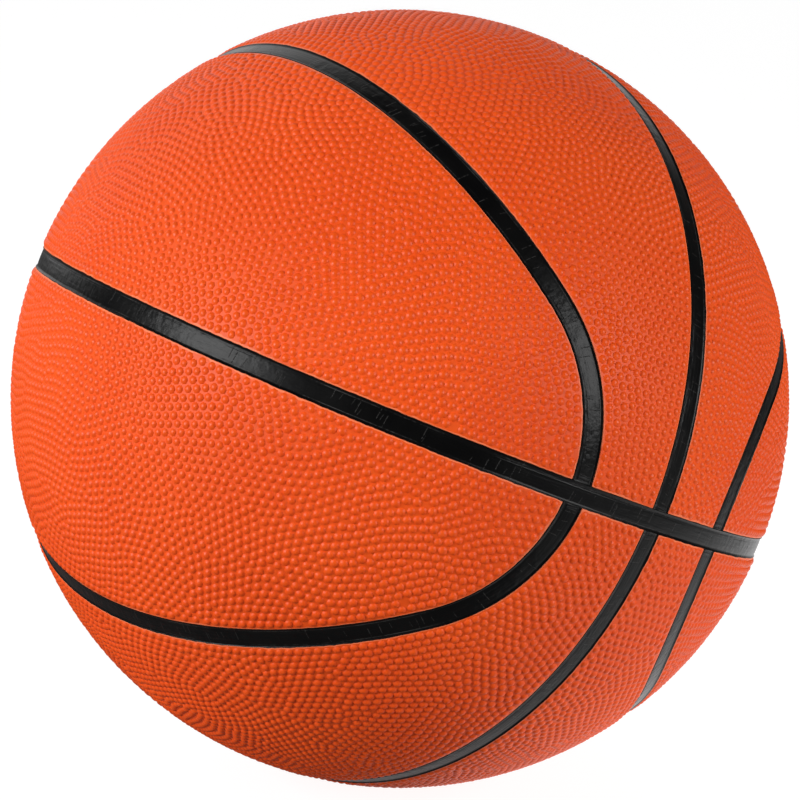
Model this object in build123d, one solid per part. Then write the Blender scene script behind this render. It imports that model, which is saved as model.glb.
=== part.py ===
from build123d import *
from math import atan, cos, degrees, pi, sin, sqrt, tan
import os

# Moulded rubber basketball, size 7, in millimetres.
# The origin is the centre of the ball and +Z is up.
# The Y axis runs through the two points where the ring seam and the straight seam cross.
# The valve looks out along +X, from the middle of a D-shaped panel.

# Driving dimensions of the ball
BALL_DIAMETER = 240.0      # over the tops of the pebbles, 754 mm round
CHANNEL_WIDTH = 6.3        # wall to wall, a quarter of an inch at most
CHANNEL_DEPTH = 0.9        # top of a panel down to the top of a strip
LOOP_GAP = 29.7            # along the ring seam, from the crossing to the middle of a loop's strip
PANEL_EDGE_ROUND = 0.45    # rounding of a panel's edge along the channels

# Plies, from the outside in
COVER_THICKNESS = 1.6
CARCASS_THICKNESS = 0.5
THREAD_THICKNESS = 0.4
BLADDER_THICKNESS = 0.6
CEMENT = 0.05              # cement line between two plies, and between a strip and a panel's wall

# Valve
NEEDLE_RADIUS = 1.05       # bore that the pump needle enters
NEEDLE_DEPTH = 13.0        # from the face of the plug to the blind end of the bore
SLIT_WIDTH = 0.2           # self-sealing slit below the bore
PLUG_RADIUS = 3.0
PLUG_LENGTH = 20.0         # under the head, to the tip
PLUG_HEAD_RADIUS = 3.7
PLUG_HEAD_THICKNESS = 0.9
PLUG_TIP_TAPER = 3.0       # length of the tapered tip
PLUG_RUNNING_FIT = 0.05    # radial play of the plug in its sleeve
PLUG_ENTRY = 0.45          # countersink that leads the needle in
SLEEVE_COLLAR_WALL = 1.8   # wall of the collar that stands out through the plies
SLEEVE_STEM_WALL = 3.4     # wall of the stem at the flange
SLEEVE_STEM_TAPER = 1.4    # how much thinner the wall is at the stem's end
SLEEVE_STEM_LENGTH = 15.0
SLEEVE_FLANGE_RADIUS = 16.0
SLEEVE_FLANGE_THICKNESS = 1.0
HEAD_CLEARANCE = 0.35      # plug's head to the wall of the hole in the cover
HEAD_SEAT_GAP = 0.05       # plug's head to the top of the collar
COLLAR_CLEARANCE = 0.1     # collar to the holes through the plies

# Radii of the plies, each one fitted to the one outside it
BALL_RADIUS = BALL_DIAMETER / 2
COVER_INNER = BALL_RADIUS - COVER_THICKNESS
CARCASS_OUTER = COVER_INNER - CEMENT
CARCASS_INNER = CARCASS_OUTER - CARCASS_THICKNESS
THREAD_OUTER = CARCASS_INNER - CEMENT
THREAD_INNER = THREAD_OUTER - THREAD_THICKNESS
BLADDER_OUTER = THREAD_INNER - CEMENT
BLADDER_INNER = BLADDER_OUTER - BLADDER_THICKNESS
STRIP_OUTER = BALL_RADIUS - CHANNEL_DEPTH
STRIP_INNER = COVER_INNER

# Seam layout. Eight equal wedges about the Y axis: the ring seam and the straight seam are great circles,
# and the long side of every loop is a great circle half way between them.
# Each end of a loop is an arc of a smaller circle, tangent to both of its long sides.
PANELS = 8
WEDGE = 2 * pi / PANELS
SEAT_TURN = degrees(WEDGE / 2)   # brings the middle of a panel to the top of the ball
GAP_ANGLE = LOOP_GAP / BALL_RADIUS
END_OFFSET = atan((cos(GAP_ANGLE) - sin(WEDGE)) / sin(GAP_ANGLE))
END_RADIUS = pi / 2 - GAP_ANGLE - END_OFFSET
END_SWEEP = atan(1 / (sin(END_OFFSET) * tan(WEDGE)))
SIDE_START = atan(cos(WEDGE) / tan(END_OFFSET))
SIDE_SWEEP = pi - 2 * SIDE_START
CHANNEL_HALF = CHANNEL_WIDTH / 2
STRIP_HALF = CHANNEL_HALF - CEMENT
BUTT_HALF = CHANNEL_HALF + CEMENT
REACH = BALL_DIAMETER      # of the blocks that cut the ball into quarters
OVERCUT = 1.0              # how far a cutter stands out of the ply that it cuts


def band(swing, half, inner, outer, sweep=2 * pi):
    """A channel section with parallel walls, swept round the Z axis and centred on the XZ plane.

    swing is the angle from the axis to the middle of the section.
    """
    along = Vector(sin(swing), 0, cos(swing))
    across = Vector(cos(swing), 0, -sin(swing))

    def corner(radius, side):
        return along * sqrt(radius**2 - half**2) + across * side * half

    section = make_face(
        [
            Line(corner(inner, 1), corner(outer, 1)),
            ThreePointArc(corner(outer, 1), along * outer, corner(outer, -1)),
            Line(corner(outer, -1), corner(inner, -1)),
            ThreePointArc(corner(inner, -1), along * inner, corner(inner, 1)),
        ]
    )
    solid = revolve(section, axis=Axis.Z, revolution_arc=degrees(sweep))
    return Rot(0, 0, -degrees(sweep) / 2) * solid


def facing(axis, start):
    """The place of a band whose axis points one way and whose middle lies towards another."""
    return Location(Plane(origin=(0, 0, 0), x_dir=start, z_dir=axis))


def loop_channel(half, inner, outer):
    """The loop's channel in the +X +Z quarter: its long side and the end arcs tangent to it."""
    side = band(pi / 2, half, inner, outer, SIDE_SWEEP)
    pieces = [facing((-sin(WEDGE), 0, cos(WEDGE)), (cos(WEDGE), 0, sin(WEDGE))) * side]
    for end in (1, -1):
        centre = (cos(END_OFFSET), end * sin(END_OFFSET), 0)
        outward = (-sin(END_OFFSET), end * cos(END_OFFSET), 0)
        arc = band(END_RADIUS, half, inner, outer, 2 * END_SWEEP)
        pieces.append(facing(centre, outward) * arc)
    return pieces


def ply(outer, inner):
    """A closed spherical ply, placed so that its poles and its seam line stay out of the +X +Z quarter."""
    return facing((sin(WEDGE), 0, -cos(WEDGE)), (-1, 0, -1)) * (Sphere(outer) - Sphere(inner))


def quarter(outer, inner, from_straight, from_ring):
    """The part of a ply in the +X +Z quarter, short of the straight seam and of the ring seam."""
    block = Box(REACH, 2 * REACH, REACH, align=(Align.MIN, Align.CENTER, Align.MIN))
    return ply(outer, inner) & Pos(from_straight, 0, from_ring) * block


def on_valve_axis(radius, start, end, end_radius=None):
    """A round solid on the valve's axis, between two distances from the centre of the ball."""
    length = end - start
    if end_radius is None:
        solid = Cylinder(radius, length)
    else:
        solid = Cone(radius, end_radius, length)
    return Pos((start + end) / 2, 0, 0) * Rot(0, 90, 0) * solid


def in_all_quarters(solid):
    """The four mirror images of a piece of the +X +Z quarter."""
    across = mirror(solid, about=Plane.YZ)
    return [solid, across, mirror(solid, about=Plane.XY), mirror(across, about=Plane.XY)]


def save(node, shape):
    export_step(shape, "parts/" + node + ".step")


os.makedirs("parts", exist_ok=True)
seat = Rot(0, SEAT_TURN, 0)

# Valve plug: a headed rubber core with a blind needle bore and a self-sealing slit through its tip.
# It slides in the sleeve, and its head rests on the flat top of the sleeve's collar, below the cover's top.
sleeve_bore = PLUG_RADIUS + PLUG_RUNNING_FIT
collar_radius = sleeve_bore + SLEEVE_COLLAR_WALL
collar_top = sqrt((COVER_INNER - CEMENT) ** 2 - collar_radius**2)
head_under = collar_top + HEAD_SEAT_GAP
plug_face = head_under + PLUG_HEAD_THICKNESS
plug_tip = head_under - PLUG_LENGTH
tip_radius = PLUG_RADIUS * 0.6
plug = on_valve_axis(PLUG_HEAD_RADIUS, head_under, plug_face)
plug = fillet(plug.edges().filter_by(GeomType.CIRCLE).group_by(Axis.X)[-1], PLUG_HEAD_THICKNESS / 3)
plug += on_valve_axis(PLUG_RADIUS, plug_tip + PLUG_TIP_TAPER, head_under)
plug += on_valve_axis(tip_radius, plug_tip, plug_tip + PLUG_TIP_TAPER, PLUG_RADIUS)
plug -= on_valve_axis(NEEDLE_RADIUS, plug_face - NEEDLE_DEPTH, plug_face)
plug -= on_valve_axis(NEEDLE_RADIUS, plug_face - PLUG_ENTRY, plug_face, NEEDLE_RADIUS + PLUG_ENTRY)
slit_length = PLUG_LENGTH + PLUG_HEAD_THICKNESS - NEEDLE_DEPTH
plug -= Pos(plug_tip + slit_length / 2, 0, 0) * Box(slit_length, SLIT_WIDTH, 2 * NEEDLE_RADIUS)
save("valve_plug", plug)

# Valve sleeve: a flange moulded to the bladder's curve, a tapered stem that stands into the ball,
# and a collar that stands out through the plies to the underside of the cover.
stem_radius = sleeve_bore + SLEEVE_STEM_WALL
flange_outer = BLADDER_INNER - CEMENT
flange_inner = flange_outer - SLEEVE_FLANGE_THICKNESS
stem_root = flange_inner + SLEEVE_FLANGE_THICKNESS / 2
stem_end = flange_inner - SLEEVE_STEM_LENGTH
sleeve = ply(flange_outer, flange_inner) & on_valve_axis(SLEEVE_FLANGE_RADIUS, 0, BALL_RADIUS)
sleeve += on_valve_axis(stem_radius - SLEEVE_STEM_TAPER, stem_end, stem_root, stem_radius)
sleeve += on_valve_axis(collar_radius, flange_inner, collar_top)
sleeve -= on_valve_axis(sleeve_bore, 0, BALL_RADIUS)
save("valve_sleeve", sleeve)

# Bladder, thread ply and carcass: closed plies, each with one hole for the valve's collar.
collar_hole = on_valve_axis(collar_radius + COLLAR_CLEARANCE, 0, BALL_RADIUS)
save("bladder", ply(BLADDER_OUTER, BLADDER_INNER) - collar_hole)
save("thread_ply", ply(THREAD_OUTER, THREAD_INNER) - collar_hole)
save("carcass", ply(CARCASS_OUTER, CARCASS_INNER) - collar_hole)

# Ring strip: the one strip that runs unbroken right round the ball.
save("ring_strip", seat * band(pi / 2, STRIP_HALF, STRIP_INNER, STRIP_OUTER))

# Straight strips: two halves of the seam square to the ring, each butted against the ring at both ends.
straight = facing((1, 0, 0), (0, 0, 1)) * band(pi / 2, STRIP_HALF, STRIP_INNER, STRIP_OUTER, pi)
straight &= Pos(0, 0, BUTT_HALF) * Box(REACH, 2 * REACH, REACH, align=(Align.CENTER, Align.CENTER, Align.MIN))
save("straight_strip_upper", seat * straight)
save("straight_strip_lower", seat * mirror(straight, about=Plane.XY))

# Loop strips: each fills the loop's channel in one quarter, from the ring round to the ring again.
# A strip is what is left of its ply between the two sides of the channel.
strip_ply = quarter(STRIP_OUTER, STRIP_INNER, STRIP_HALF, BUTT_HALF)
strip_channel = loop_channel(STRIP_HALF, STRIP_INNER - OVERCUT, STRIP_OUTER + OVERCUT)
loop_strip = strip_ply.cut(*strip_ply.cut(*strip_channel).solids())
STRIP_WORDS = ["right_upper", "left_upper", "right_lower", "left_lower"]
for word, strip in zip(STRIP_WORDS, in_all_quarters(loop_strip)):
    save("loop_strip_" + word, seat * strip)

# Cover panels: the loop's channel cuts each quarter of the cover into a D-shaped panel and a long panel.
# Every panel has a rounded edge along the channels, and the one at +X has the hole for the valve.
cover = quarter(BALL_RADIUS, COVER_INNER, CHANNEL_HALF, CHANNEL_HALF)
panels = cover.cut(*loop_channel(CHANNEL_HALF, COVER_INNER - OVERCUT, BALL_RADIUS + OVERCUT))
long_panel, d_panel = panels.solids().sort_by(Axis.X)
valve_hole = on_valve_axis(PLUG_HEAD_RADIUS + HEAD_CLEARANCE, 0, BALL_RADIUS + OVERCUT)
PANEL_WORDS = [
    (d_panel, ["right", "upper_left", "lower_right", "left"]),
    (long_panel, ["upper_right", "top", "bottom", "lower_left"]),
]
for kind, words in PANEL_WORDS:
    for word, image in zip(words, in_all_quarters(kind)):
        panel = seat * image
        if word == "right":
            panel = panel.cut(valve_hole)
        rim = panel.edges().filter_by(lambda edge: abs((edge @ 0.37).length - BALL_RADIUS) < 0.01)
        save("cover_panel_" + word, panel.solid().fillet(PANEL_EDGE_ROUND, rim))
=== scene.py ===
from math import atan, cos, pi, radians, sin, sqrt, tan

import bmesh
import bpy
import numpy as np
from mathutils import Matrix, Vector, kdtree, noise


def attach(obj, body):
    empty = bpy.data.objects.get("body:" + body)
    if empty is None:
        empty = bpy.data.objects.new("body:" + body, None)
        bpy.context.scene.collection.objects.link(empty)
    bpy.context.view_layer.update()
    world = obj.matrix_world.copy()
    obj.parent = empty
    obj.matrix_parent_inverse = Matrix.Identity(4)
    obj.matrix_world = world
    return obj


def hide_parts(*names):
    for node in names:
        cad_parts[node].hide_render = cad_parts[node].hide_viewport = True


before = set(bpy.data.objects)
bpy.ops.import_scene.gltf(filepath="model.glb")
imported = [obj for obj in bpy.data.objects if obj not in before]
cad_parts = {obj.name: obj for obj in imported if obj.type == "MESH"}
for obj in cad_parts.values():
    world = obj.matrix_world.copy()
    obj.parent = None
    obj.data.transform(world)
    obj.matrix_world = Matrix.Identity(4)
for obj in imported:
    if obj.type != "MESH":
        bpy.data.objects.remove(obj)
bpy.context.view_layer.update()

# Bladder: the air-tight inner ball, moulded from black butyl rubber.
# A pale bloom of talc from the mould is left on it. Everything else is built up around it.
BUTYL = (0.012, 0.012, 0.013)
TALC = (0.35, 0.34, 0.33)


class Wire:
    """A value inside a finish. Arithmetic on it adds Math nodes."""

    def __init__(self, finish, socket):
        self.finish = finish
        self.socket = socket

    def math(self, operation, *values):
        return self.finish.node("ShaderNodeMath", {"operation": operation}, dict(enumerate(values)))

    def __add__(self, other):
        return self.math("ADD", self, other)

    def __sub__(self, other):
        return self.math("SUBTRACT", self, other)

    def __rsub__(self, other):
        return self.math("SUBTRACT", other, self)

    def __mul__(self, other):
        return self.math("MULTIPLY", self, other)

    def __truediv__(self, other):
        return self.math("DIVIDE", self, other)

    def __rtruediv__(self, other):
        return self.math("DIVIDE", other, self)

    def __abs__(self):
        return self.math("ABSOLUTE", self)

    __radd__ = __add__
    __rmul__ = __mul__

    def floor(self):
        return self.math("FLOOR", self)

    def over(self, limit):
        """1 where the value is over the limit, and else 0."""
        return self.math("GREATER_THAN", self, limit)

    def or_more(self, other):
        """The larger of two values."""
        return self.math("MAXIMUM", self, other)

    def rise(self, low, high):
        """0 below low, 1 above high, with a smooth step between. A high under low turns it round."""
        return self.finish.node(
            "ShaderNodeMapRange",
            {"interpolation_type": "SMOOTHSTEP"},
            {"Value": self, "From Min": low, "From Max": high},
        )


class Finish:
    """One material, or the surround: its shader and the nodes that feed it."""

    def __init__(self, name, sockets=None, kind="materials", shader="Principled BSDF", place="Object"):
        self.material = getattr(bpy.data, kind).new(name)
        self.material.use_nodes = True
        self.tree = self.material.node_tree
        self.shader = self.tree.nodes[shader]
        self.place = self.node("ShaderNodeTexCoord", {}, {}, place)
        self.show(sockets or {})

    def feed(self, node, socket, value):
        if isinstance(value, Wire):
            self.tree.links.new(value.socket, node.inputs[socket])
        else:
            node.inputs[socket].default_value = value

    def node(self, kind, settings, sockets, output=0):
        """A node of any type. Its settings come first, then the values or links of its sockets."""
        new = self.tree.nodes.new(kind)
        for word, value in settings.items():
            setattr(new, word, value)
        for socket, value in sockets.items():
            self.feed(new, socket, value)
        return Wire(self, new.outputs[output])

    def vector(self, operation, *vectors, output="Vector"):
        return self.node("ShaderNodeVectorMath", {"operation": operation}, dict(enumerate(vectors)), output)

    def noise(self, scale, detail=2.0, place=None):
        sockets = {"Vector": place or self.place, "Scale": scale, "Detail": detail}
        return self.node("ShaderNodeTexNoise", {}, sockets)

    def blend(self, factor, first, second):
        """A colour between two others, each three numbers or a link."""
        pair = [(*colour, 1) if isinstance(colour, tuple) else colour for colour in (first, second)]
        return self.node("ShaderNodeMix", {"data_type": "RGBA"}, {0: factor, 6: pair[0], 7: pair[1]}, 2)

    def relief(self, height, depth, strength=1.0):
        """A Normal made from a height between 0 and 1 that stands for depth metres."""
        return self.node("ShaderNodeBump", {}, {"Height": height, "Distance": depth, "Strength": strength})

    def show(self, sockets):
        for word, value in sockets.items():
            self.feed(self.shader, word, value)

    def coat(self, piece):
        piece.data.materials.clear()
        piece.data.materials.append(self.material)


butyl = Finish("black_butyl")
talc = butyl.noise(60, 5).rise(0.52, 0.8)
butyl.show({
    "Base Color": butyl.blend(talc * 0.35, BUTYL, TALC),
    "Roughness": talc * 0.3 + 0.5,
    "Normal": butyl.relief(butyl.noise(900, 3), 0.0001, 0.4),
})
butyl.coat(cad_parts["bladder"])

# Valve sleeve: a flanged rubber tube, bonded into the bladder round its one hole.
# Its bore grips the plug, and the end of its collar carries the plug's head.
VALVE_RUBBER = (0.014, 0.014, 0.014)
VALVE_BLOOM = (0.075, 0.072, 0.07)
valve_black = Finish("valve_black")
bloom = valve_black.noise(700, 4)
valve_black.show({
    "Base Color": valve_black.blend(bloom.rise(0.45, 0.75) * 0.4, VALVE_RUBBER, VALVE_BLOOM),
    "Roughness": bloom * 0.2 + 0.42,
    "Normal": valve_black.relief(valve_black.noise(2600, 2), 0.00004, 0.6),
})
valve_black.coat(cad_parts["valve_sleeve"])

# Thread ply: nylon thread wound over the bladder on great circles and set in rubber cement.
# It keeps the ball round. The windings cross at every angle, so bands of three headings lie over each other.
CEMENT = (0.19, 0.15, 0.1)
NYLON = (0.72, 0.68, 0.58)
HEADINGS = ((0.3, 0.2, 0.0), (1.2, 0.5, 0.9), (0.6, 1.4, 2.0))
nylon = Finish("wound_nylon")
windings = None
for turn in HEADINGS:
    heading = nylon.node("ShaderNodeMapping", {}, {"Vector": nylon.place, "Rotation": turn})
    threads = nylon.node(
        "ShaderNodeTexWave",
        {"wave_type": "BANDS", "bands_direction": "X"},
        {"Vector": heading, "Scale": 420.0, "Distortion": 3.0, "Detail": 2.0, "Detail Scale": 0.4},
        "Fac",
    )
    windings = windings.or_more(threads) if windings else threads
nylon.show({
    "Base Color": nylon.blend(windings, CEMENT, NYLON),
    "Roughness": 0.75 - windings * 0.2,
    "Normal": nylon.relief(windings, 0.0002, 0.7),
})
nylon.coat(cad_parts["thread_ply"])

# Carcass: a layer of calendered black rubber cured over the thread.
# The channel strips and the cover panels are moulded on to it, so it shows nowhere on a whole ball.
CARCASS_DARK = (0.016, 0.015, 0.014)
CARCASS_PALE = (0.045, 0.042, 0.04)
carcass = Finish("carcass_rubber")
calender = carcass.noise(1500, 3)
carcass.show({
    "Base Color": carcass.blend(calender, CARCASS_DARK, CARCASS_PALE),
    "Roughness": calender * 0.2 + 0.6,
    "Normal": carcass.relief(calender, 0.00008, 0.5),
})
carcass.coat(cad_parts["carcass"])

# Ring strip: black rubber, inlaid right round the ball in one piece, its edges turned up the channel's walls.
# Its section is drawn once and spun about the ring's axis, as are the strips that butt against it.
# The seams are laid out upright, and every finished piece is turned to its seat about the Y axis.
BALL = 0.120  # radius over the pebble tops
CHANNEL = 0.0063  # width
STRIP_TOP = 0.1191  # radius
STRIP_FOOT = 0.1184  # radius
WEDGE = pi / 4  # between the ring's plane and a loop's long side
SEAT = WEDGE / 2
PACE = 0.0016  # length of one step of a spun section
# Half of the section, in mm: across from the strip's middle, and above the strip's top.
SECTION = [
    (0.00, 0.03), (1.40, 0.02), (2.10, 0.00), (2.32, -0.04), (2.43, -0.04), (2.54, 0.00), (2.66, 0.04),
    (2.77, 0.08), (2.87, 0.15), (2.95, 0.22), (3.01, 0.28), (3.07, 0.30), (3.10, 0.25), (3.10, 0.00),
]
STRIP_BLACK = (0.0018, 0.0018, 0.002)
STRIP_HAZE = (0.0034, 0.0034, 0.0034)
# A pale grey used both for wear (rubs, nicks) and for painted highlights (edge line, nick edges, welt
# crests).
STRIP_PALE_WEAR_AND_HIGHLIGHT = (0.16, 0.155, 0.15)
EDGE_HIGHLIGHT_OFFSET = 0.00238  # from the strip's middle
GROOVE = 0.0017  # from the strip's middle
# Noise cells in a metre, along the strip and across it.
RUBBED = (60.0, 2200.0, 0.0)
STREAKED = (90.0, 1500.0, 0.0)


def deselect():
    if bpy.context.object and bpy.context.object.mode != "OBJECT":
        bpy.ops.object.mode_set(mode="OBJECT")
    bpy.ops.object.select_all(action="DESELECT")


def pick(piece):
    deselect()
    piece.select_set(True)
    bpy.context.view_layer.objects.active = piece


def outward(piece):
    """Merges doubles and points every face outwards. A volume below 0 shows a bowl that is inside out."""
    pick(piece)
    bpy.ops.object.mode_set(mode="EDIT")
    bpy.ops.mesh.select_all(action="SELECT")
    bpy.ops.mesh.remove_doubles(threshold=1e-6)
    bpy.ops.mesh.normals_make_consistent(inside=False)
    if bmesh.from_edit_mesh(piece.data).calc_volume(signed=True) < 0:
        bpy.ops.mesh.flip_normals()
    bpy.ops.object.mode_set(mode="OBJECT")


def seated(piece, side=1, lift=1):
    """Mirrors a piece into its own quarter of the ball and turns it to its seat."""
    pick(piece)
    piece.scale = (side, 1, lift)
    bpy.ops.object.transform_apply(location=False, rotation=False, scale=True)
    piece.rotation_euler = (0, SEAT, 0)
    bpy.ops.object.transform_apply(location=False, rotation=True, scale=False)
    outward(piece)


def spun_strip(name, along, across, turns):
    """The strip's section at the start of its seam, spun about one axis after another.

    Each turn is an axis, an angle, the radius at which its length is measured and the length of one step.
    """
    half = SECTION[-1][0]
    profile = SECTION + [(half, None), (-half, None)] + [(-x, y) for x, y in SECTION[:0:-1]]
    deselect()
    bpy.ops.mesh.primitive_circle_add(vertices=len(profile), radius=CHANNEL / 2, location=(0, 0, 0))
    strip = bpy.context.object
    strip.name = strip.data.name = name
    for corner, (x, y) in zip(strip.data.vertices, profile):
        height = STRIP_FOOT if y is None else STRIP_TOP + y / 1000
        corner.co = Vector(along) * sqrt(height**2 - (x / 1000) ** 2) + Vector(across) * x / 1000
    bpy.ops.object.mode_set(mode="EDIT")
    bpy.ops.mesh.select_all(action="SELECT")
    runs = [0.0]
    for axis, angle, reach, pace in turns:
        steps = round(angle * reach / pace)
        bpy.ops.mesh.spin(steps=steps, angle=angle, center=(0, 0, 0), axis=axis, use_auto_merge=False)
        runs += [runs[-1] + angle * reach / steps * k for k in range(1, steps + 1)]
    bpy.ops.object.mode_set(mode="OBJECT")
    # The run of the strip, along and across it, in metres, for the marks that follow it.
    corner_of = np.zeros(len(strip.data.loops), int)
    strip.data.loops.foreach_get("vertex_index", corner_of)
    sides = np.array([x for x, y in profile]) / 1000
    run = np.stack([np.array(runs)[corner_of // len(profile)], sides[corner_of % len(profile)]], 1)
    strip.data.uv_layers.new(name="run").data.foreach_set("uv", run.astype(np.float32).ravel())
    return strip


def finish_strip(strip, node):
    pick(strip)
    bpy.ops.object.shade_smooth_by_angle(angle=radians(50))
    strip_black.coat(strip)
    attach(strip, "ball")
    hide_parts(node)


strip_black = Finish("strip_black", {"Specular IOR Level": 0.15})
run = strip_black.node("ShaderNodeUVMap", {"uv_map": "run"}, {})
along, across = (strip_black.node("ShaderNodeSeparateXYZ", {}, {0: run}, k) for k in range(2))
haze = strip_black.noise(55, 4)
grain = strip_black.noise(1500, 3)
waver = strip_black.noise(400, 2)
crumple = strip_black.noise(420, 2) * strip_black.noise(24, 1).rise(0.37, 0.52)


def nicks(spacing, share, reach, width):
    """Fine nicks across the strip, pale partly as wear and partly as a painted highlight on their raised
    edges: one in some of the spacings, as many as share says.
    """
    place = along / spacing + waver * 0.12 + across * 90
    cell = place.floor()
    dice = strip_black.node("ShaderNodeTexWhiteNoise", {"noise_dimensions": "1D"}, {"W": cell}, "Color")
    shift, middle, luck = (strip_black.node("ShaderNodeSeparateColor", {}, {0: dice}, k) for k in range(3))
    line = abs(place - cell - shift * 0.6 - 0.2).rise(width / spacing, width / spacing * 0.4)
    ends = abs(across - (middle - 0.5) * 0.003).rise(reach, reach * 0.8)
    return line * ends * luck.over(1 - share)


long_nicks = nicks(spacing=0.0015, share=0.22, reach=0.0018, width=0.00013)
short_nicks = nicks(spacing=0.0031, share=0.3, reach=0.0010, width=0.00010)
clusters = strip_black.noise(34, 1).rise(0.32, 0.45)
# The nicks' pale colour is partly wear and partly a painted highlight on their raised edges.
marks = (long_nicks + short_nicks) * clusters * grain.rise(0.35, 0.6)
rubs = strip_black.noise(1.0, 2, strip_black.vector("MULTIPLY", run, RUBBED)).rise(0.6, 0.75)
rubs = rubs * strip_black.noise(26, 2).rise(0.5, 0.7)
streaks = strip_black.noise(1.0, 2, strip_black.vector("MULTIPLY", run, STREAKED))
# Painted highlight: a thin pale line near each edge of the strip, where the step in its section catches the
# light.
painted_edge_highlight = abs(abs(across) - EDGE_HIGHLIGHT_OFFSET).rise(0.00016, 0.00004) * (grain * 0.5 + haze).rise(0.7, 0.95)
groove = abs(across + GROOVE + waver * 0.0004).rise(0.00022, 0.00005) * haze.rise(0.4, 0.6)
# The welts' crests are painted pale: a painted highlight where the ridges catch the light.
welt = strip_black.node("ShaderNodeAttribute", {"attribute_name": "welt"}, {}, "Fac")
strip_black.show({
    "Base Color": strip_black.blend(
        marks * 0.2 + rubs * 0.14 + painted_edge_highlight * 0.3 + welt.rise(0.25, 0.9) * 0.55,
        strip_black.blend(haze.rise(0.4, 0.75), STRIP_BLACK, STRIP_HAZE),
        STRIP_PALE_WEAR_AND_HIGHLIGHT,
    ),
    "Roughness": haze * 0.14 + grain * 0.06 + marks * 0.2 + 0.22,
    "Normal": strip_black.relief(
        crumple * 0.5 + streaks * 0.2 + grain * 0.04 - marks * 0.26 - groove * 0.12, 0.0005, 0.8
    ),
})

ring = spun_strip("ring_strip_inlay", (1, 0, 0), (0, 0, -1), [((0, 0, -1), 2 * pi, BALL, PACE)])
seated(ring)
finish_strip(ring, "ring_strip")

# Straight strips: the two halves of the seam that crosses the ring square, of the same black rubber.
# They are cut to length and butted against the ring at both ends, where curing squeezes up a small welt.
BUTT = CHANNEL / 2 + 0.00012  # from the ring's middle to the cut end
END_RUN = 0.0062  # the stretch near a cut end that is spun in fine steps
FINE_PACE = 0.00028
WELT_ZONE = 0.003
WELT_SKIN = 0.0002
WELT_HEIGHT = 0.00018
# Each ridge of the welt: its distance from the cut end, its width and its share of the height.
WELT_RIDGES = ((0.0, 0.00022, 1.0), (0.0012, 0.0002, 0.8))


def butted(strip):
    """Raises the welts of a strip, trims it where it meets the ring and closes its two ends."""
    torn = np.zeros(len(strip.data.vertices), np.float32)
    for corner in strip.data.vertices:
        back = corner.co.z - BUTT
        if back < WELT_ZONE and corner.co.length > STRIP_TOP - WELT_SKIN:
            ridge = sum(part * np.exp(-(((back - at) / width) ** 2)) for at, width, part in WELT_RIDGES)
            torn[corner.index] = ridge * max(0.5 + 1.1 * noise.noise(corner.co * 1100), 0)
            corner.co *= 1 + torn[corner.index] * WELT_HEIGHT / BALL
    strip.data.attributes.new("welt", "FLOAT", "POINT").data.foreach_set("value", torn)
    pick(strip)
    bpy.ops.object.mode_set(mode="EDIT")
    bpy.ops.mesh.select_all(action="SELECT")
    bpy.ops.mesh.bisect(
        plane_co=(0, 0, BUTT), plane_no=(0, 0, 1), use_fill=True, clear_inner=True, threshold=1e-6
    )
    bpy.ops.object.mode_set(mode="OBJECT")


for word, lift in (("upper", 1), ("lower", -1)):
    end = ((1, 0, 0), END_RUN / BALL, BALL, FINE_PACE)
    middle = ((1, 0, 0), pi - 2 * END_RUN / BALL, BALL, PACE)
    straight = spun_strip("straight_strip_inlay_" + word, (0, -1, 0), (1, 0, 0), [end, middle, end])
    butted(straight)
    seated(straight, 1, lift)
    finish_strip(straight, "straight_strip_" + word)

# Loop strips: each is half of an oval loop, from the ring round to the ring again.
# Its long side lies on a great circle half way between the ring and the straight seam,
# and at each end it bends round a smaller circle that is tangent to that side.
GAP = 0.0297 / BALL  # along the ring, from the straight seam to the middle of a loop's strip
END_OFFSET = atan((cos(GAP) - sin(WEDGE)) / sin(GAP))
END_RADIUS = pi / 2 - GAP - END_OFFSET
END_SWEEP = atan(1 / (sin(END_OFFSET) * tan(WEDGE)))
SIDE_SWEEP = pi - 2 * atan(cos(WEDGE) / tan(END_OFFSET))
END_REACH = BALL * sin(END_RADIUS)
SIDE_POLE = np.array([-sin(WEDGE), 0, cos(WEDGE)])
SIDE_MIDDLE = np.array([cos(WEDGE), 0, sin(WEDGE)])
RIGHT, BACK, UP = np.eye(3)


def end_centre(end):
    """The middle of a loop's end arc, and the way from it to the crossing; end is -1 at the front."""
    centre = np.array([cos(END_OFFSET), end * sin(END_OFFSET), 0])
    return centre, np.array([-sin(END_OFFSET), end * cos(END_OFFSET), 0])


front, front_out = end_centre(-1)
back = end_centre(1)[0]
cut = END_RUN / END_REACH
for side_word, side in (("right", 1), ("left", -1)):
    for lift_word, lift in (("upper", 1), ("lower", -1)):
        loop = spun_strip(
            "loop_strip_inlay_" + side_word + "_" + lift_word,
            front * cos(END_RADIUS) + front_out * sin(END_RADIUS),
            front_out * cos(END_RADIUS) - front * sin(END_RADIUS),
            [
                (front, cut, END_REACH, FINE_PACE),
                (front, END_SWEEP - cut, END_REACH, PACE),
                (-SIDE_POLE, SIDE_SWEEP, BALL, PACE),
                (back, END_SWEEP - cut, END_REACH, PACE),
                (back, cut, END_REACH, FINE_PACE),
            ],
        )
        butted(loop)
        seated(loop, side, lift)
        finish_strip(loop, "loop_strip_" + side_word + "_" + lift_word)

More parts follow.
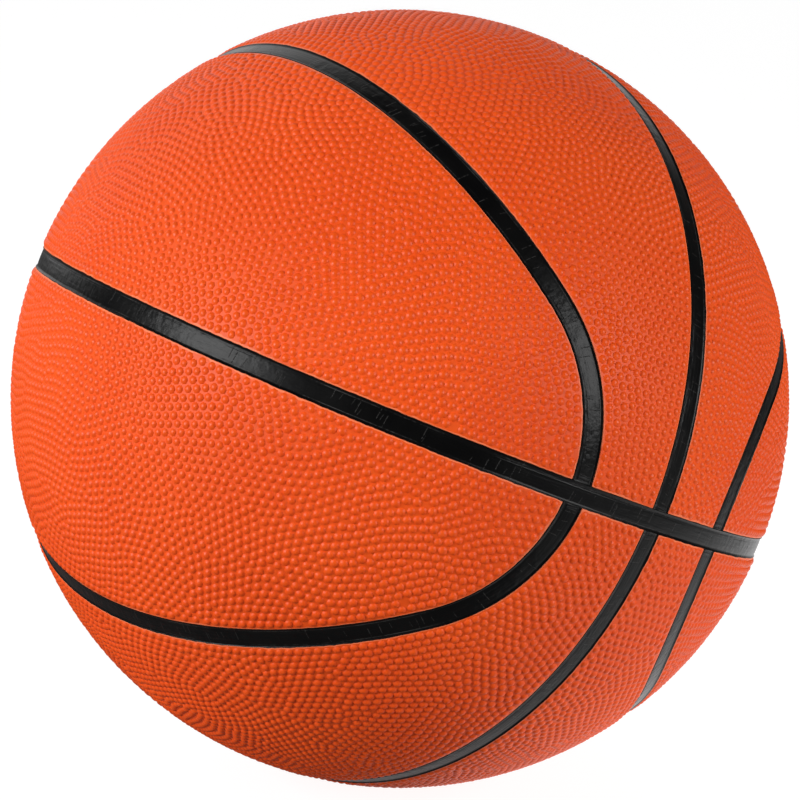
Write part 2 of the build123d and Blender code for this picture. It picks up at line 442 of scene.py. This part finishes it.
# Cover panels: orange rubber moulded in one piece with its pebbles, with a smooth lip along the channels.
# Four D-shaped panels lie inside the loops and four long ones between a loop and the straight seam.
# Each kind is a grid drawn out to the walls of its channels, thickened, and its rim rounded.
PEBBLE = 0.00066  # height
PEBBLE_RADIUS = 0.00138
PANEL_TOP = BALL - PEBBLE
PANEL_FOOT = 0.1184
WALL = CHANNEL / 2
LEVEL = WALL / PANEL_TOP  # a wall's distance from its seam's middle, as an angle
LIP = 0.00045
RIM_ROUND = 0.00030
RIM_REACH = 0.0009
D_CELLS = (130, 36)
LONG_CELLS = (150, 36)


def beside(first, second, pole, level, turn):
    """Points at a level over the plane of two directions, turned from the first towards the second."""
    return (first * np.cos(turn) + second * np.sin(turn)) * sqrt(1 - level**2) + pole * level


def end_arc(end, wall):
    """A run of points on the wall of a loop's end arc, from the ring's wall to where the long side begins."""
    centre, out = end_centre(end)
    polar = END_RADIUS + wall / PANEL_TOP
    turn = np.linspace(np.arcsin(LEVEL / sin(polar)), END_SWEEP, 200)[:, None]
    return centre * cos(polar) + (out * np.cos(turn) + UP * np.sin(turn)) * sin(polar)


def long_side(wall):
    """A run of points on the wall of a loop's long side, from front to back."""
    turn = np.linspace(-SIDE_SWEEP / 2, SIDE_SWEEP / 2, 400)[:, None]
    return beside(SIDE_MIDDLE, BACK, SIDE_POLE, wall / PANEL_TOP, turn)


def ring_side(first, last):
    """A run of points on the ring's wall, between two points on it."""
    turn = np.linspace(np.arctan2(first[1], first[0]), np.arctan2(last[1], last[0]), 400)[:, None]
    return beside(RIGHT, BACK, UP, LEVEL, turn)


def straight_side():
    """A run of points on the straight seam's wall, from the ring at the front to the ring at the back."""
    stop = np.arccos(LEVEL / sqrt(1 - LEVEL**2))
    return beside(UP, BACK, RIGHT, LEVEL, np.linspace(-stop, stop, 400)[:, None])


def evenly(points, count):
    """The same run, in evenly spaced points."""
    gone = np.concatenate([[0], np.cumsum(np.linalg.norm(np.diff(points, axis=0), axis=1))])
    at = np.linspace(0, gone[-1], count)
    return np.stack([np.interp(at, gone, points[:, k]) for k in range(3)], axis=1)


def room(points):
    """How far each point lies outside the middle line of its loop, in metres; less than 0 is inside."""
    centre, out = end_centre(1)
    folded = np.abs(points)
    turned = np.arctan2(folded @ UP, folded @ out)
    by_arc = (np.arccos(np.clip(folded @ centre / PANEL_TOP, -1, 1)) - END_RADIUS) * PANEL_TOP
    by_side = np.arcsin(folded @ SIDE_POLE / PANEL_TOP) * PANEL_TOP
    return np.where(turned < END_SWEEP, by_arc, by_side)


def free_of(points):
    """How far each point lies from the nearest wall of its own panel's channels."""
    loop = room(points)
    free = np.minimum(np.abs(loop), np.abs(points[:, 2])) - WALL
    return np.where(loop > 0, np.minimum(free, np.abs(points[:, 0]) - WALL), free)


def panel_blank(name, near, far, start, finish, cells):
    """A grid drawn out between four walls, thickened to the panel's top, with its rim rounded over."""
    deselect()
    bpy.ops.mesh.primitive_grid_add(
        x_subdivisions=cells[0], y_subdivisions=cells[1], size=2, location=(0, 0, 0)
    )
    blank = bpy.context.object
    blank.name = blank.data.name = name
    u = np.linspace(0, 1, cells[0] + 1)[None, :, None]
    v = np.linspace(0, 1, cells[1] + 1)[:, None, None]
    near, far = evenly(near, cells[0] + 1)[None], evenly(far, cells[0] + 1)[None]
    start, finish = evenly(start, cells[1] + 1)[:, None], evenly(finish, cells[1] + 1)[:, None]
    doubled = near[:, :1] * (1 - u) * (1 - v) + near[:, -1:] * u * (1 - v)
    doubled = doubled + far[:, :1] * (1 - u) * v + far[:, -1:] * u * v
    drawn = near * (1 - v) + far * v + start * (1 - u) + finish * u - doubled
    drawn *= PANEL_FOOT / np.linalg.norm(drawn, axis=2, keepdims=True)
    blank.data.vertices.foreach_set("co", drawn.astype(np.float32).ravel())
    bpy.ops.object.mode_set(mode="EDIT")
    bpy.ops.mesh.select_mode(type="FACE")
    bpy.ops.mesh.select_all(action="SELECT")
    bpy.ops.mesh.extrude_region_move()
    grow = PANEL_TOP / PANEL_FOOT
    bpy.ops.transform.resize(value=(grow, grow, grow), center_override=(0, 0, 0))
    bpy.ops.mesh.region_to_loop()
    bpy.ops.mesh.bevel(offset=RIM_ROUND, segments=4, affect="EDGES", clamp_overlap=False)
    bpy.ops.object.mode_set(mode="OBJECT")
    outward(blank)
    # How near the rim is, from 0 to 1, for the strip's black rubber that was pressed over it and for the
    # painted highlight along the lip.
    corners = np.zeros(len(blank.data.vertices) * 3)
    blank.data.vertices.foreach_get("co", corners)
    near_rim = np.clip(1 - free_of(corners.reshape(-1, 3)) / RIM_REACH, 0, 1)
    blank.data.attributes.new("rim", "FLOAT", "POINT").data.foreach_set("value", near_rim.astype(np.float32))
    return blank


inner_front, inner_back = end_arc(-1, -WALL), end_arc(1, -WALL)
outer_front, outer_back = end_arc(-1, WALL), end_arc(1, WALL)
seam = straight_side()
d_blank = panel_blank(
    "d_panel",
    ring_side(inner_front[0], inner_back[0]),
    long_side(-WALL),
    inner_front,
    inner_back,
    D_CELLS,
)
long_blank = panel_blank(
    "long_panel",
    seam,
    np.concatenate([outer_front[:-1], long_side(WALL), outer_back[-2::-1]]),
    ring_side(seam[0], outer_front[0]),
    ring_side(seam[-1], outer_back[0]),
    LONG_CELLS,
)

# One pebble: a low round dome, sunk a hair into the panel.
PEBBLE_SIDES = 7
PEBBLE_SINK = 0.00002
# Each ring of the dome: its share of the radius and of the height.
PEBBLE_RINGS = ((0.86, 0.29), (0.64, 0.64), (0.33, 0.91), (0.02, 1.0))
deselect()
bpy.ops.mesh.primitive_circle_add(
    vertices=PEBBLE_SIDES, radius=PEBBLE_RADIUS, fill_type="NGON", location=(0, 0, 0)
)
dome = bpy.context.object
dome.name = "pebble"
bpy.ops.object.mode_set(mode="EDIT")
bpy.ops.mesh.select_all(action="SELECT")
bpy.ops.transform.translate(value=(0, 0, -PEBBLE_SINK))
wide, high = 1, 0
for next_wide, next_high in PEBBLE_RINGS:
    bpy.ops.mesh.extrude_region_move(TRANSFORM_OT_translate={"value": (0, 0, (next_high - high) * PEBBLE)})
    shrink = next_wide / wide
    bpy.ops.transform.resize(value=(shrink, shrink, 1), center_override=(0, 0, 0))
    wide, high = next_wide, next_high
bpy.ops.mesh.merge(type="CENTER")
bpy.ops.object.mode_set(mode="OBJECT")
outward(dome)
bpy.ops.object.shade_smooth_by_angle(angle=radians(60))

# The pebbles lie in the rows of a triangular net, drawn on the twenty faces of an icosahedron and bent to the
# ball. It is swirled slowly, shaken a little and evened out between the walls, so that the rows curve as they
# do in a moulded grain and the first of them follows the channel.
NET = 51  # pebbles along an edge of the icosahedron
MARGIN = PEBBLE_RADIUS + LIP
VALVE_RIM = 0.0070  # radius
SWIRL_SCALE = 15  # noise cells in a metre
SWIRL_PROBE = 0.05
SWIRL_STEP = 0.019
DRIFTS = 5
SHAKE = 0.00022
LAST_SHAKE = 0.00005
OVERHANG = 0.43  # the share of the pitch by which a pebble may start too near a wall
ROUNDS = 9
NUDGES = 12
NEIGHBOURS = 9
PUSH_REACH = 1.2  # in pitches
PUSH = 0.5
WALL_PROBE = 0.00001
WALL_PUSH = 0.0003


def unseated(points):
    """The same points, turned back upright."""
    return points @ np.array(Matrix.Rotation(-SEAT, 3, "Y")).T


def on_top(points):
    """The same points, drawn in or out to the top of the panels."""
    return points * (PANEL_TOP / np.linalg.norm(points, axis=1, keepdims=True))


def walls(points):
    """How far each point lies from the nearest wall of its own panel or from the rim of the valve hole."""
    free = free_of(unseated(points))
    from_rim = np.hypot(points[:, 1], points[:, 2]) - VALVE_RIM
    return np.where(points[:, 0] > 0, np.minimum(free, from_rim), free)


def triangular_net():
    """The corners of a fine triangular net on the ball."""
    deselect()
    bpy.ops.mesh.primitive_ico_sphere_add(subdivisions=1, radius=1, location=(0, 0, 0))
    solid = bpy.context.object
    tips = np.array([corner.co for corner in solid.data.vertices])
    faces = [list(face.vertices) for face in solid.data.polygons]
    bpy.data.objects.remove(solid)
    edge = np.arccos(tips[faces[0][0]] @ tips[faces[0][1]])
    share = np.array([(a, b, NET - a - b) for a in range(NET + 1) for b in range(NET + 1 - a)]) / NET
    net = np.concatenate([np.sin(share * edge) @ tips[face] for face in faces])
    net /= np.linalg.norm(net, axis=1, keepdims=True)
    net = np.unique(net.round(5), axis=0)
    return net @ np.array(Matrix.Rotation(1.1, 3, "X") @ Matrix.Rotation(0.5, 3, "Z")).T * PANEL_TOP


def swirl(spot):
    """A drift along the level lines of a slow noise."""
    here = Vector(spot) * SWIRL_SCALE
    steps = Matrix.Diagonal((SWIRL_PROBE, SWIRL_PROBE, SWIRL_PROBE))
    slope = [noise.noise(here + step) - noise.noise(here - step) for step in steps]
    return Vector(spot).normalized().cross(Vector(slope)) * SWIRL_STEP


def evened(spots, pitch):
    """The same spots after near ones have pushed each other apart, and the walls have pushed them off."""
    for settle in range(ROUNDS):
        tree = kdtree.KDTree(len(spots))
        for index, spot in enumerate(spots):
            tree.insert(spot, index)
        tree.balance()
        around = np.array([[found[1] for found in tree.find_n(spot, NEIGHBOURS + 1)[1:]] for spot in spots])
        for nudge in range(NUDGES):
            apart = spots[:, None] - spots[around]
            gap = np.linalg.norm(apart, axis=2, keepdims=True)
            push = np.clip(PUSH_REACH - gap / pitch, 0, None) ** 2
            spots = spots + (apart / gap * push * pitch).sum(1) * PUSH
            space = walls(spots)
            away = np.stack([walls(spots + step) - space for step in np.eye(3) * WALL_PROBE], 1) / WALL_PROBE
            spots = on_top(spots + away * np.clip(MARGIN - space, 0, WALL_PUSH)[:, None])
    return spots


chance = np.random.default_rng(11)
spots = triangular_net()
pitch = PANEL_TOP * sqrt(4 * pi / len(spots) * 2 / sqrt(3))
for drift in range(DRIFTS):
    spots = on_top(spots + np.array([swirl(spot) for spot in spots]))
spots = spots + chance.normal(0, SHAKE, spots.shape)
spots = evened(spots[walls(spots) > MARGIN - OVERHANG * pitch], pitch)
spots = on_top(spots + chance.normal(0, LAST_SHAKE, spots.shape))
upright = unseated(spots)
from_loop = room(upright)
free = walls(spots)

# The nodes that set a pebble on each spot, square to the ball, and join it to the panel.
grain_tree = bpy.data.node_groups.new("pebble_grain", "GeometryNodeTree")
grain_tree.interface.new_socket("Geometry", in_out="INPUT", socket_type="NodeSocketGeometry")
grain_tree.interface.new_socket("Geometry", in_out="OUTPUT", socket_type="NodeSocketGeometry")
parts = {
    word: grain_tree.nodes.new(kind)
    for word, kind in {
        "panel": "NodeGroupInput",
        "layout": "GeometryNodeObjectInfo",
        "pebble": "GeometryNodeObjectInfo",
        "place": "GeometryNodeInputPosition",
        "stand": "FunctionNodeAlignRotationToVector",
        "swell": "GeometryNodeInputNamedAttribute",
        "set": "GeometryNodeInstanceOnPoints",
        "solid": "GeometryNodeRealizeInstances",
        "join": "GeometryNodeJoinGeometry",
        "result": "NodeGroupOutput",
    }.items()
}
parts["stand"].axis = "Z"
parts["swell"].data_type = "FLOAT"
parts["swell"].inputs["Name"].default_value = "swell"
parts["pebble"].inputs["Object"].default_value = dome
for tail, tail_socket, head, head_socket in (
    ("place", "Position", "stand", "Vector"),
    ("layout", "Geometry", "set", "Points"),
    ("pebble", "Geometry", "set", "Instance"),
    ("stand", "Rotation", "set", "Rotation"),
    ("swell", "Attribute", "set", "Scale"),
    ("set", "Instances", "solid", "Geometry"),
    ("solid", "Geometry", "join", "Geometry"),
    ("panel", "Geometry", "join", "Geometry"),
    ("join", "Geometry", "result", "Geometry"),
):
    grain_tree.links.new(parts[tail].outputs[tail_socket], parts[head].inputs[head_socket])

# The panels' rubber: orange, smoother on the pebbles' crowns, with a painted highlight along the rounded lip,
# with a ragged edge of the strips' black rubber over it.
ORANGE = (0.80, 0.075, 0.0035)
ORANGE_PALE = (0.86, 0.090, 0.0050)
ORANGE_SPECK = (0.90, 0.115, 0.010)
LIP_HIGHLIGHT_PALE = (0.95, 0.28, 0.13)
PRESSED_BLACK = (0.004, 0.004, 0.0043)
orange = Finish("pebbled_orange", {"Specular IOR Level": 0.29})
reach = orange.vector("LENGTH", orange.place, output="Value")
crown = reach.rise(PANEL_TOP - 0.00005, BALL - 0.00004)
fine = orange.noise(2400, 3)
tint = orange.blend(orange.noise(16, 3).rise(0.3, 0.7), ORANGE, ORANGE_PALE)
tint = orange.blend(orange.noise(420, 2).rise(0.35, 0.75) * 0.3, tint, ORANGE_SPECK)
near_rim = orange.node("ShaderNodeAttribute", {"attribute_name": "rim"}, {}, "Fac")
ragged = near_rim - orange.noise(330, 3) * 0.7 - orange.noise(120, 2) * 0.3
# Painted highlight: a pale band along the rounded lip, where the rim catches the light.
lip_highlight = ragged.rise(0.04, 0.16) * ragged.rise(0.44, 0.36)
tint = orange.blend(lip_highlight * 0.55, tint, LIP_HIGHLIGHT_PALE)
orange.show({
    "Base Color": orange.blend(ragged.rise(0.36, 0.42), tint, PRESSED_BLACK),
    "Roughness": 0.47 - crown * 0.14 + fine * 0.08,
    "Normal": orange.relief(fine, 0.00005, 0.3),
})

HOLE = 0.00405  # radius
HOLE_SIDES = 48
DRILL = 0.02  # length
# The section of the raised rim round the hole, in mm: from the valve's axis, and from the ball's middle.
RIM_SECTION = [
    (4.05, 119.0), (4.05, 119.62), (4.16, 119.84), (4.42, 119.96), (4.80, 120.0), (5.90, 120.0),
    (6.35, 119.93), (6.75, 119.72), (7.00, 119.40), (7.00, 119.0),
]


def bored(panel):
    """Cuts the one hole in the cover, for the valve, and joins its smooth raised rim to the panel."""
    deselect()
    bpy.ops.mesh.primitive_cylinder_add(
        vertices=HOLE_SIDES, radius=HOLE, depth=DRILL, location=(BALL, 0, 0), rotation=(0, pi / 2, 0)
    )
    drill = bpy.context.object
    pick(panel)
    hole = panel.modifiers.new("valve_hole", "BOOLEAN")
    hole.operation = "DIFFERENCE"
    hole.object = drill
    bpy.ops.object.modifier_apply(modifier="valve_hole")
    bpy.data.objects.remove(drill)
    deselect()
    bpy.ops.mesh.primitive_circle_add(vertices=len(RIM_SECTION), radius=HOLE, location=(0, 0, 0))
    rim = bpy.context.object
    for corner, (radius, level) in zip(rim.data.vertices, RIM_SECTION):
        corner.co = (sqrt((level / 1000) ** 2 - (radius / 1000) ** 2), radius / 1000, 0)
    bpy.ops.object.mode_set(mode="EDIT")
    bpy.ops.mesh.select_all(action="SELECT")
    bpy.ops.mesh.spin(
        steps=HOLE_SIDES, angle=2 * pi, center=(0, 0, 0), axis=(1, 0, 0), use_auto_merge=False
    )
    bpy.ops.object.mode_set(mode="OBJECT")
    outward(rim)
    pick(panel)
    rim.select_set(True)
    bpy.ops.object.join()


def pebbled(panel, spots, swell):
    """Sets a pebble of its own size on each spot of a panel."""
    layout = bpy.data.meshes.new("pebble_layout")
    layout.from_pydata(spots.tolist(), [], [])
    layout.attributes.new("swell", "FLOAT", "POINT").data.foreach_set("value", swell.astype(np.float32))
    layout_object = bpy.data.objects.new("pebble_layout", layout)
    bpy.context.scene.collection.objects.link(layout_object)
    parts["layout"].inputs["Object"].default_value = layout_object
    panel.modifiers.new("pebbles", "NODES").node_group = grain_tree
    bpy.ops.object.modifier_apply(modifier="pebbles")
    bpy.data.objects.remove(layout_object)


LEAST_SWELL = 0.35
QUARTERS = ((1, 1), (-1, 1), (1, -1), (-1, -1))
D_PANELS = ("right", "upper_left", "lower_right", "left")
LONG_PANELS = ("upper_right", "top", "bottom", "lower_left")
for blank, words, within in ((d_blank, D_PANELS, from_loop < 0), (long_blank, LONG_PANELS, from_loop > 0)):
    for word, (side, lift) in zip(words, QUARTERS):
        panel = blank.copy()
        panel.data = blank.data.copy()
        panel.name = panel.data.name = "pebbled_panel_" + word
        bpy.context.scene.collection.objects.link(panel)
        seated(panel, side, lift)
        if word == "right":
            bored(panel)
        pick(panel)
        bpy.ops.object.shade_smooth_by_angle(angle=radians(45))
        swell = np.clip((free - LIP / 2) / PEBBLE_RADIUS, 0, 1) * chance.uniform(0.87, 1.0, len(spots))
        here = within & (upright[:, 0] * side > 0) & (upright[:, 2] * lift > 0) & (swell > LEAST_SWELL)
        pebbled(panel, spots[here], swell[here])
        orange.coat(panel)
        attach(panel, "ball")
        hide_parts("cover_panel_" + word)
for pattern in (d_blank, long_blank, dome):
    bpy.data.objects.remove(pattern)

# Valve plug: the self-sealing rubber core that the pump needle enters.
# It slides into the sleeve last, with its head below the top of the cover.
valve_black.coat(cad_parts["valve_plug"])

# Studio floor: a sheet of paper under the ball, which the camera sees as white.
# A white card lies on it to the right of the ball and behind it, and lights the ball from below.
WHITE = (1, 1, 1, 1)
CARD_WAY = (1.328, 0.076, 0)
deselect()
bpy.ops.mesh.primitive_plane_add(size=8, location=(0, 0, -BALL - 0.0001))
floor = bpy.context.object
floor.name = "studio_floor"
paper = Finish("studio_paper", {"Base Color": (0.2, 0.2, 0.2, 1), "Roughness": 0.9})
by_camera = paper.node("ShaderNodeLightPath", {}, {}, "Is Camera Ray")
by_shine = paper.node("ShaderNodeLightPath", {}, {}, "Is Glossy Ray")
card = paper.vector("DOT_PRODUCT", paper.place, CARD_WAY, output="Value").rise(-0.075, 0.01)
card = card * paper.vector("LENGTH", paper.place, output="Value").rise(0.6, 0.2)
strength = by_camera * 0.9 + (1 - by_camera) * card * (by_shine * 0.65 + 0.55)
glow = paper.node("ShaderNodeEmission", {}, {"Color": WHITE, "Strength": strength})
both = paper.node("ShaderNodeAddShader", {}, {0: Wire(paper, paper.shader.outputs[0]), 1: glow})
paper.tree.links.new(both.socket, paper.tree.nodes["Material Output"].inputs["Surface"])
paper.coat(floor)

# Surround: white wherever the camera looks.
# To the ball it is a dim room, with a white backdrop that stands behind the ball.
BACKDROP_WAY = (0.3934, 0.9135, 0.1460)
surround = Finish("studio_surround", {"Color": WHITE}, "worlds", "Background", "Generated")
backdrop = surround.vector("DOT_PRODUCT", surround.place, BACKDROP_WAY, output="Value").rise(0.57, 0.92)
seen = surround.node("ShaderNodeLightPath", {}, {}, "Is Camera Ray")
shone = surround.node("ShaderNodeLightPath", {}, {}, "Is Glossy Ray")
surround.show({"Strength": seen + (1 - seen) * (backdrop * 1.2 + 0.10 - shone * 0.06)})
bpy.context.scene.world = surround.material

# Camera: at the photograph's angle, about seven ball radii away.
# Its own directions also place the lamps.
VIEW_BACK = Vector((-0.58905, -0.74850, 0.30458))
VIEW_UP = Vector((0.12566, 0.28749, 0.94951))
VIEW_RIGHT = Vector((0.79826, -0.59758, 0.07529))
DISTANCE = 7.03  # in ball radii
SENSOR = 36  # mm
# In the photograph's pixels: its width, the ball's radius and how far off centre the ball is.
PHOTO_WIDTH = 800
PHOTO_RADIUS = 389.7
OFF_RIGHT = 0.1
OFF_UP = 1.3
lens = bpy.data.cameras.new("photo_camera")
lens.sensor_width = SENSOR
lens.lens = PHOTO_RADIUS * sqrt(DISTANCE**2 - 1) * SENSOR / PHOTO_WIDTH
lens.clip_start = 0.01
camera = bpy.data.objects.new("photo_camera", lens)
bpy.context.scene.collection.objects.link(camera)
aim = VIEW_RIGHT * (OFF_RIGHT / PHOTO_RADIUS * BALL) - VIEW_UP * (OFF_UP / PHOTO_RADIUS * BALL)
stand = Matrix((VIEW_RIGHT, VIEW_UP, VIEW_BACK)).transposed().to_4x4()
camera.matrix_world = Matrix.Translation(aim + VIEW_BACK * DISTANCE * BALL) @ stand
bpy.context.scene.camera = camera


# Lamps: two square soft boxes in front of the ball, one at each side.
# The left one is the brighter.
def lamp(name, right, up, toward, size, power):
    """A soft box that looks at the ball, placed from the camera's own directions, in metres."""
    light = bpy.data.lights.new(name, "AREA")
    light.size = size
    light.energy = power
    box = bpy.data.objects.new(name, light)
    box.location = VIEW_RIGHT * right + VIEW_UP * up + VIEW_BACK * toward
    box.rotation_euler = box.location.to_track_quat("Z", "Y").to_euler()
    bpy.context.scene.collection.objects.link(box)


lamp("left_box", right=-0.99, up=0.25, toward=0.73, size=0.66, power=15.0)
lamp("right_box", right=1.03, up=0.18, toward=0.71, size=0.64, power=10.5)
bpy.context.scene.view_settings.view_transform = "Standard"
